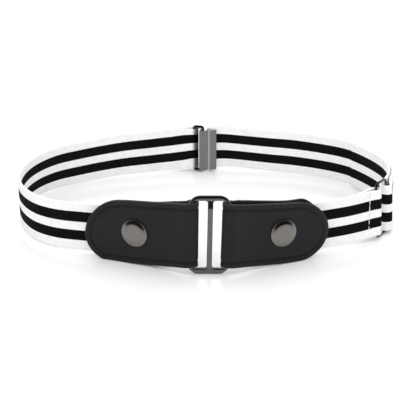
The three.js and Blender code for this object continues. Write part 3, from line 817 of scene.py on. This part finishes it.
def box_piece(name, low, high, corner, segments):
    """A box between two corners whose edges from front to back are rounded."""
    low, high = Vector(low), Vector(high)
    box = added(bpy.ops.mesh.primitive_cube_add, size=1, location=(low + high) / 2)
    box.name = box.data.name = name
    box.scale = high - low
    settle(box)

    def runs_back(edge):
        start, end = (box.data.vertices[i].co for i in edge.vertices)
        return abs(end.y - start.y) > abs(end.x - start.x) + abs(end.z - start.z)

    select_parts(box, "EDGE", "edges", runs_back)
    bpy.ops.mesh.bevel(offset=corner, segments=segments, affect="EDGES")
    bpy.ops.object.mode_set(mode="OBJECT")
    return box


def cut_away(piece, cutter):
    modify(piece, "BOOLEAN", operation="DIFFERENCE", solver="EXACT", object=cutter)
    bpy.data.objects.remove(cutter)


def slide_frame():
    """The front slide: a rounded frame with a centre bar, leaning a little to the right."""
    wire, bar, height, top = (SLIDE[key] * MM for key in ("wire", "bar", "height", "top"))
    half = SLIDE["half"] * MM
    centre = placed(SLIDE["x"], 0)
    low = (centre.x - half, centre.y - wire / 2, OFFSET.z)
    high = (centre.x + half, centre.y + wire / 2, OFFSET.z + height)
    piece = box_piece("slide_frame", low, high, SLIDE["corner"] * MM, 10)
    round_edges(piece, 1.0 * MM, 4)
    for side in (-1, 1):
        near = centre.x + SLIDE["bar_shift"] * MM + side * bar / 2
        far = centre.x + side * (half - wire)
        slot_low = (min(near, far), centre.y - wire, OFFSET.z + wire)
        slot_high = (max(near, far), centre.y + wire, OFFSET.z + height - top)
        cut_away(piece, box_piece("slot", slot_low, slot_high, SLIDE["slot"] * MM, 5))
    round_edges(piece, 0.45 * MM, 3)
    for point in piece.data.vertices:
        point.co.x += SLIDE["lean"] * (point.co.z - OFFSET.z - height / 2)
    return piece


def wire_ring(name, ring):
    """A rectangular ring of round wire that stands upright on its lower side."""
    rear = placed(*ring["rear"])
    front = placed(*ring["front"])
    along = (rear - front).normalized()
    width = (rear - front).length
    low = ring["wire"] / 2 * MM
    high = (ring["height"] - ring["wire"] / 2) * MM
    corner = ring["corner"] * MM
    handle = corner * CIRCLE_HANDLE
    corners = [Vector(place) for place in ((width, low), (width, high), (0, high), (0, low))]
    runs = [Vector(run) for run in ((1, 0), (0, 1), (-1, 0), (0, -1))]

    def spot(place):
        shift = ring["lean"] * (place.y - ring["height"] * MM / 2)
        return (front.x + along.x * place.x + shift, front.y + along.y * place.x, place.y + OFFSET.z)

    def place_knot(knot, place, run, before, after):
        knot.handle_left_type = knot.handle_right_type = "FREE"
        knot.co = spot(place)
        knot.handle_left = spot(place - run * before)
        knot.handle_right = spot(place + run * after)

    wire = added(bpy.ops.curve.primitive_bezier_circle_add)
    wire.name = name
    knots = wire.data.splines[0].bezier_points
    knots.add(4)
    for i, place in enumerate(corners):
        onward = runs[(i + 1) % len(runs)]
        place_knot(knots[2 * i], place - runs[i] * corner, runs[i], WIRE_HANDLE * MM, handle)
        place_knot(knots[2 * i + 1], place + onward * corner, onward, handle, WIRE_HANDLE * MM)
    wire.data.bevel_depth = ring["wire"] / 2 * MM
    wire.data.bevel_resolution = 4
    wire.data.resolution_u = 10
    make_active(wire)
    bpy.ops.object.convert(target="MESH")
    piece = bpy.context.object
    piece.data.name = name
    clean(piece, bpy.ops.mesh.normals_make_consistent, inside=False)
    return piece


def crease_place():
    """Place in plan of the crease down the clasp's plate."""
    along = Vector((math.cos(HOOK["yaw"]), math.sin(HOOK["yaw"])))
    return placed(HOOK["x"], HOOK["y"]) + along * HOOK["crease"] * MM


def hook_plate():
    """The clasp's folded plate, from a copy of its solid. Each end of its crease has a nick."""
    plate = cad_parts["clasp_hook"].copy()
    plate.data = plate.data.copy()
    plate.parent = None
    plate.name = plate.data.name = "hook_plate"
    for key in list(plate.keys()):
        del plate[key]
    bpy.context.scene.collection.objects.link(plate)
    make_active(plate)
    bpy.ops.mesh.customdata_custom_splitnormals_clear()
    clean(plate, bpy.ops.mesh.dissolve_limited, angle_limit=math.radians(0.5))
    nick = crease_place()
    for height in (HOOK["bottom"], HOOK["top"]):
        cutter = added(
            bpy.ops.mesh.primitive_cylinder_add, vertices=24, radius=NICK_RADIUS * MM, depth=12 * MM,
            location=(nick.x, nick.y, OFFSET.z + height * MM), rotation=(math.pi / 2, 0, HOOK["yaw"]))
        settle(cutter)
        cut_away(plate, cutter)
    round_edges(plate, 0.12 * MM, 2)
    return plate


def tinted(colour, share):
    """A colour made lighter or darker, as red, green, blue and 1."""
    return (*(value * share for value in colour[:3]), 1)


class Tree:
    """A node tree with short ways to add and link nodes."""

    def __init__(self, tree):
        self.tree = tree

    def add(self, kind, **settings):
        node = self.tree.nodes.new(kind)
        for name, value in settings.items():
            setattr(node, name, value)
        return node

    def link(self, output, target):
        self.tree.links.new(output, target)

    def fill(self, sockets, values):
        """Links or sets each socket, as its value is another node's output or a constant."""
        for socket, value in zip(sockets, values):
            if hasattr(value, "is_output"):
                self.link(value, socket)
            else:
                socket.default_value = value

    def math(self, operation, *values):
        node = self.add("ShaderNodeMath", operation=operation)
        self.fill(node.inputs, values)
        return node.outputs[0]

    def blend_colour(self, factor, low, high):
        """A colour that runs from low to high as the factor runs from 0 to 1."""
        node = self.add("ShaderNodeMix", data_type="RGBA")
        self.link(factor, node.inputs["Factor"])
        self.fill(node.inputs[6:8], (low, high))
        return node.outputs[2]

    def axes(self, vector):
        node = self.add("ShaderNodeSeparateXYZ")
        self.link(vector, node.inputs[0])
        return node.outputs

    def coordinates(self, kind):
        return self.add("ShaderNodeTexCoord").outputs[kind]


class Paint(Tree):
    """A new material's node tree."""

    def __init__(self, name):
        self.material = bpy.data.materials.new(name)
        self.material.use_nodes = True
        super().__init__(self.material.node_tree)
        self.shader = self.tree.nodes["Principled BSDF"]
        self.space = self.coordinates("Object")

    def colour(self, output):
        self.link(output, self.shader.inputs["Base Color"])

    def set(self, **values):
        """Sets the shader's own sockets, with underscores for the spaces in their names."""
        for name, value in values.items():
            self.shader.inputs[name.replace("_", " ")].default_value = value

    def noise(self, vector, scale, detail):
        node = self.add("ShaderNodeTexNoise")
        sockets = [node.inputs[name] for name in ("Vector", "Scale", "Detail", "Roughness")]
        self.fill(sockets, (vector, scale, detail, 0.55))
        return node.outputs["Fac"]

    def bump(self, height, distance, strength):
        node = self.add("ShaderNodeBump")
        sockets = [node.inputs[name] for name in ("Height", "Distance", "Strength")]
        self.fill(sockets, (height, distance, strength))
        self.link(node.outputs["Normal"], self.shader.inputs["Normal"])

    def attribute(self, name):
        return self.add("ShaderNodeAttribute", attribute_name=name).outputs["Fac"]


def woven_elastic(name):
    """White elastic with two black stripes, fine ribs along it and the weft across them."""
    settings = band_settings()
    paint = Paint(name)
    along, up, _ = paint.axes(paint.add("ShaderNodeUVMap").outputs["UV"])
    ribs = settings.width / settings.rib
    picks = settings.width / (settings.rib * 0.62)
    pick = paint.math("SINE", paint.math("MULTIPLY", along, 2 * math.pi * picks))
    rib = paint.math("SINE", paint.math("MULTIPLY", up, 2 * math.pi * ribs))
    ragged = paint.math("ADD", up, paint.math("MULTIPLY", pick, 0.003))
    stripes = paint.add("ShaderNodeValToRGB")
    stripes.color_ramp.interpolation = "CONSTANT"
    edges = ((0.0, settings.white), (0.199, settings.black), (0.414, settings.white), (0.592, settings.black),
             (0.812, settings.white))
    elements = stripes.color_ramp.elements
    while len(elements) < len(edges):
        elements.new(0.5)
    for element, (position, colour) in zip(elements, edges):
        element.position = position
        element.color = colour
    paint.link(ragged, stripes.inputs["Fac"])
    cloud = paint.noise(paint.space, 350.0, 4.0)
    shade = paint.math("ADD", 0.86, paint.math("MULTIPLY", cloud, 0.22))
    weave = paint.math("ADD", paint.math("MULTIPLY", rib, 0.5), paint.math("MULTIPLY", pick, 0.35))
    deep = paint.math("MULTIPLY", paint.math("ADD", 1.0, weave), 0.07)
    # The fold's painted shade darkens the elastic in its turn round the bar.
    unshaded = paint.math("SUBTRACT", 1.0, paint.attribute("soiled"))
    tone = paint.add("ShaderNodeHueSaturation")
    paint.link(stripes.outputs["Color"], tone.inputs["Color"])
    value = paint.math("ADD", paint.math("SUBTRACT", shade, 0.05), deep)
    paint.link(paint.math("MULTIPLY", value, unshaded), tone.inputs["Value"])
    paint.colour(tone.outputs["Color"])
    fuzz = paint.noise(paint.space, 2600.0, 2.0)
    height = paint.math("ADD", paint.math("MULTIPLY", weave, 0.5), paint.math("MULTIPLY", fuzz, 0.5))
    paint.bump(height, 0.00016, 0.7)
    paint.set(Roughness=0.9, Specular_IOR_Level=0.1)
    return paint.material


def black_leather(name):
    """Smooth black leather with a fine pebble grain and a soft sheen."""
    settings = tab_settings()
    paint = Paint(name)
    cells = paint.add("ShaderNodeTexVoronoi", feature="DISTANCE_TO_EDGE")
    paint.link(paint.space, cells.inputs["Vector"])
    cells.inputs["Scale"].default_value = 1500.0
    creases = paint.math("MINIMUM", paint.math("MULTIPLY", cells.outputs["Distance"], 4.0), 1.0)
    cloud = paint.noise(paint.space, 90.0, 4.0)
    fine = paint.noise(paint.space, 2400.0, 3.0)
    low, high, seam, rim = (tinted(settings.leather, share) for share in (0.8, 1.25, 0.35, 3.5))
    tone = paint.blend_colour(cloud, low, high)
    tone = paint.blend_colour(paint.math("MULTIPLY", paint.attribute("seam"), 0.9), tone, seam)
    # A painted highlight along the cut edge.
    tone = paint.blend_colour(paint.attribute("rim"), tone, rim)
    paint.colour(tone)
    paint.link(paint.math("ADD", 0.44, paint.math("MULTIPLY", cloud, 0.16)), paint.shader.inputs["Roughness"])
    height = paint.math("ADD", paint.math("MULTIPLY", creases, 0.7), paint.math("MULTIPLY", fine, 0.5))
    paint.bump(height, 0.00006, 0.5)
    paint.set(Specular_IOR_Level=0.22)
    return paint.material


def sewing_thread(name, colour):
    """Twisted polyester thread."""
    paint = Paint(name)
    strands = paint.noise(paint.space, 5200.0, 2.0)
    paint.colour(paint.blend_colour(strands, tinted(colour, 0.75), tinted(colour, 1)))
    paint.bump(strands, 0.00008, 0.8)
    paint.set(Roughness=0.6, Specular_IOR_Level=0.35)
    return paint.material


def pale_floor(name, colour):
    """A pale floor with faint clouds and a soft mirror."""
    paint = Paint(name)
    clouds = paint.noise(paint.space, 40.0, 2.0)
    paint.colour(paint.blend_colour(clouds, tinted(colour, 0.99), tinted(colour, 1)))
    paint.set(Roughness=0.16, Specular_IOR_Level=0.5)
    return paint.material


def plated_metal(name, colour, roughness, grain=(1, 1, 1), scale=900.0, relief=0.00001, metallic=1.0,
                 patch=None):
    """Plated metal. `grain` stretches its fine brush marks, and 1, 1, 1 leaves it with none.

    `patch` is two corners of a box and the colour painted inside it, which stands for light: a highlight on
    the clasp's crease, a dark reflection on the slide's centre bar.
    """
    paint = Paint(name)
    stretch = paint.add("ShaderNodeMapping")
    paint.link(paint.space, stretch.inputs["Vector"])
    stretch.inputs["Scale"].default_value = grain
    marks = paint.noise(stretch.outputs["Vector"], scale, 4.0)
    wear = paint.noise(paint.space, 260.0, 3.0)
    tone = paint.blend_colour(marks, tinted(colour, 0.82), tinted(colour, 1.15))
    # The box holds painted light, bright on the clasp's crease and dark on the slide's centre bar.
    if patch:
        *corners, inner = patch
        inside = 1.0
        for place, start, end in zip(paint.axes(paint.space), *corners):
            away = paint.math("ABSOLUTE", paint.math("SUBTRACT", place, (start + end) / 2))
            inside = paint.math("MULTIPLY", inside, paint.math("LESS_THAN", away, (end - start) / 2))
        tone = paint.blend_colour(inside, tone, tinted(inner, 1))
    paint.colour(tone)
    rough = paint.math("ADD", roughness - 0.05, paint.math("MULTIPLY", wear, 0.12))
    paint.link(rough, paint.shader.inputs["Roughness"])
    paint.bump(marks, relief, 0.6)
    paint.set(Metallic=metallic)
    return paint.material


def material(name, maker=plated_metal, **values):
    """The material of that name, made on first use."""
    return bpy.data.materials.get(name) or maker(name, **values)


def slide_metal():
    """The slide's dark plating, with a painted dark reflection that makes the top of its centre bar almost
    black.
    """
    bar = placed(SLIDE["x"] + SLIDE["bar_shift"], 0)
    top = OFFSET.z + (SLIDE["height"] - SLIDE["top"]) * MM
    half = Vector(DARK_REFLECTION["half"]) * MM
    low, high = (*(bar - half), top - DARK_REFLECTION["height"] * MM), (*(bar + half), top)
    # The box on top of the centre bar is a painted dark reflection.
    return material(
        "gunmetal", colour=(0.14, 0.14, 0.14), roughness=0.2, patch=(low, high, (0.012, 0.012, 0.012)))


def cap_metal():
    return material("cap_metal", colour=(0.20, 0.19, 0.18), roughness=0.16)


def ring_metal():
    return material("ring_plating", colour=(0.1, 0.1, 0.095), roughness=0.2)


def hook_metal():
    """The clasp plate's brushed plating, with a painted highlight along its crease."""
    ridge = crease_place()
    start, end = (ridge.x + edge * MM for edge in CREASE_HIGHLIGHT)
    # The bright box across the crease is a painted highlight.
    low, high = (start, 0, 0), (end, 2 * ridge.y, SLIDE["height"] * MM)
    return material(
        "hook_plating", colour=(0.2, 0.2, 0.19), roughness=0.5, grain=(1, 1, 0.03), scale=1500.0,
        relief=0.00003, metallic=0.4, patch=(low, high, (0.4, 0.4, 0.385)))


class BELT_OT_bands(bpy.types.Operator):
    """Lays the three lengths of striped elastic and folds their ends round the rings"""

    bl_idname = "belt.bands"
    bl_label = "Elastic bands"

    def execute(self, context):
        lengths = {
            "band_left": [*rows_behind(TABS["left"]), *millimetres(LEFT_BAND)],
            "band_right_front": [*rows_behind(TABS["right"]), *millimetres(RIGHT_FRONT_BAND)],
            "band_right": millimetres(RIGHT_BAND),
        }
        for node, rows in lengths.items():
            line, fold_at = folded_line(rows, FOLDS[node])
            band = weave_band(node + "_woven", line, fold_at, FOLDS[node])
            finish(band, material("woven_elastic", woven_elastic), (node,))
            if node == "band_right_front":
                thread = material("white_thread", sewing_thread, colour=(0.85, 0.85, 0.84))
                finish(sew_fold(node + "_thread", line, fold_at), thread)
        return {"FINISHED"}


class BELT_OT_tabs(bpy.types.Operator):
    """Cuts, grooves, folds and sews the two leather tabs"""

    bl_idname = "belt.tabs"
    bl_label = "Leather tabs"

    def execute(self, context):
        leather = material("black_leather", black_leather)
        thread = material("black_thread", sewing_thread, colour=(0.008, 0.008, 0.009))
        for name, tab in TABS.items():
            strip = Strip(tab)
            finish(cut_tab(f"tab_{name}_leather", strip), leather, (f"tab_{name}",))
            finish(sew_tab(f"tab_{name}_thread", strip), thread)
        return {"FINISHED"}


class BELT_OT_snaps(bpy.types.Operator):
    """Presses the snap caps and studs into the tabs"""

    bl_idname = "belt.snaps"
    bl_label = "Snap fasteners"

    def execute(self, context):
        for name, tab in TABS.items():
            for half, maker in (("cap", snap_cap), ("stud", snap_stud)):
                node = f"snap_{half}_{name}"
                finish(maker(node + "_metal", snap_place(tab)), cap_metal(), (node,))
        return {"FINISHED"}


class BELT_OT_slide(bpy.types.Operator):
    """Makes the front slide"""

    bl_idname = "belt.slide"
    bl_label = "Front slide"

    def execute(self, context):
        finish(slide_frame(), slide_metal(), ("front_slide",))
        return {"FINISHED"}


class BELT_OT_rings(bpy.types.Operator):
    """Bends the side ring and the clasp ring from wire"""

    bl_idname = "belt.rings"
    bl_label = "Wire rings"

    def execute(self, context):
        for node, ring in (("side_ring", SIDE_RING), ("clasp_ring", CLASP_RING)):
            finish(wire_ring(node + "_wire", ring), ring_metal(), (node,))
        return {"FINISHED"}


class BELT_OT_hook(bpy.types.Operator):
    """Folds the clasp's hook plate"""

    bl_idname = "belt.hook"
    bl_label = "Clasp hook"

    def execute(self, context):
        finish(hook_plate(), hook_metal(), ("clasp_hook",))
        return {"FINISHED"}


class BELT_OT_studio(bpy.types.Operator):
    """Sets up the floor, the soft light and the camera"""

    bl_idname = "belt.studio"
    bl_label = "Studio"

    def execute(self, context):
        settings = context.scene.belt_studio
        floor = added(bpy.ops.mesh.primitive_plane_add, size=6.0, location=(0, 0, 0))
        floor.name = "floor"
        floor.data.materials.append(pale_floor("floor", settings.floor))
        self.light_room(context)
        self.add_light("overhead", (0, 0.1, 1.0), (1.2, 1.0), 2.2)
        self.add_light("front", (0, -1.1, 0.8), (2.0, 1.2), 6.0)
        self.add_camera(context, settings)
        return {"FINISHED"}

    def light_room(self, context):
        """An even white room. Polished metal also mirrors the unlit part of it, in front and overhead."""
        context.scene.world = bpy.data.worlds.new("room")
        context.scene.world.use_nodes = True
        room = Tree(context.scene.world.node_tree)
        _, ahead, up = room.axes(room.coordinates("Generated"))
        masks = []
        for axis, dark, light in ((ahead, -0.25, 0.15), (up, 0.62, 0.42)):
            mask = room.add("ShaderNodeMapRange", interpolation_type="SMOOTHSTEP")
            room.fill(mask.inputs[:3], (axis, dark, light))
            masks.append(mask.outputs["Result"])
        mirrored = room.blend_colour(room.math("MULTIPLY", *masks), (0.02, 0.02, 0.02, 1), WHITE)
        seen_by_gloss = room.add("ShaderNodeLightPath").outputs["Is Glossy Ray"]
        back = room.tree.nodes["Background"]
        room.link(room.blend_colour(seen_by_gloss, WHITE, mirrored), back.inputs["Color"])
        back.inputs["Strength"].default_value = ROOM_LIGHT

    def add_light(self, name, location, size, power):
        """An area lamp that points at the belt. Metal doesn't mirror it."""
        lamp = added(bpy.ops.object.light_add, type="AREA", location=location)
        lamp.name = name
        lamp.rotation_euler = (-Vector(location)).to_track_quat("-Z", "Y").to_euler()
        lamp.data.shape = "RECTANGLE"
        lamp.data.size, lamp.data.size_y = size
        lamp.data.energy = power
        lamp.visible_glossy = False

    def add_camera(self, context, settings):
        place = (OFFSET.x, OFFSET.y - settings.distance, OFFSET.z + settings.height)
        rotation = (math.pi / 2 - settings.pitch, 0, 0)
        camera = added(bpy.ops.object.camera_add, location=place, rotation=rotation)
        camera.data.sensor_width = 36
        camera.data.lens = settings.lens
        context.scene.camera = camera
        context.scene.view_settings.view_transform = "Standard"


class BELT_PT_panel(bpy.types.Panel):
    """Lists the steps that dress the belt"""

    bl_idname = "BELT_PT_panel"
    bl_label = "Elastic belt"
    bl_space_type = "VIEW_3D"
    bl_region_type = "UI"
    bl_category = "Belt"

    def draw(self, context):
        for group, kind in SETTINGS.items():
            box = self.layout.box()
            for name in kind.__annotations__:
                box.prop(getattr(context.scene, group), name)
        for step in STEPS:
            self.layout.operator(step.bl_idname)


STEPS = (
    BELT_OT_studio,
    BELT_OT_bands,
    BELT_OT_tabs,
    BELT_OT_snaps,
    BELT_OT_slide,
    BELT_OT_rings,
    BELT_OT_hook,
)
SETTINGS = {"belt_band": BandSettings, "belt_tab": TabSettings, "belt_studio": StudioSettings}


def register():
    for entry in (*SETTINGS.values(), *STEPS, BELT_PT_panel):
        bpy.utils.register_class(entry)
    for name, group in SETTINGS.items():
        setattr(bpy.types.Scene, name, bpy.props.PointerProperty(type=group))


def unregister():
    for name in SETTINGS:
        delattr(bpy.types.Scene, name)
    for entry in reversed((*SETTINGS.values(), *STEPS, BELT_PT_panel)):
        bpy.utils.unregister_class(entry)


def main():
    register()
    for step in STEPS:
        family, name = step.bl_idname.split(".")
        getattr(getattr(bpy.ops, family), name)()


if __name__ == "__main__":
    main()
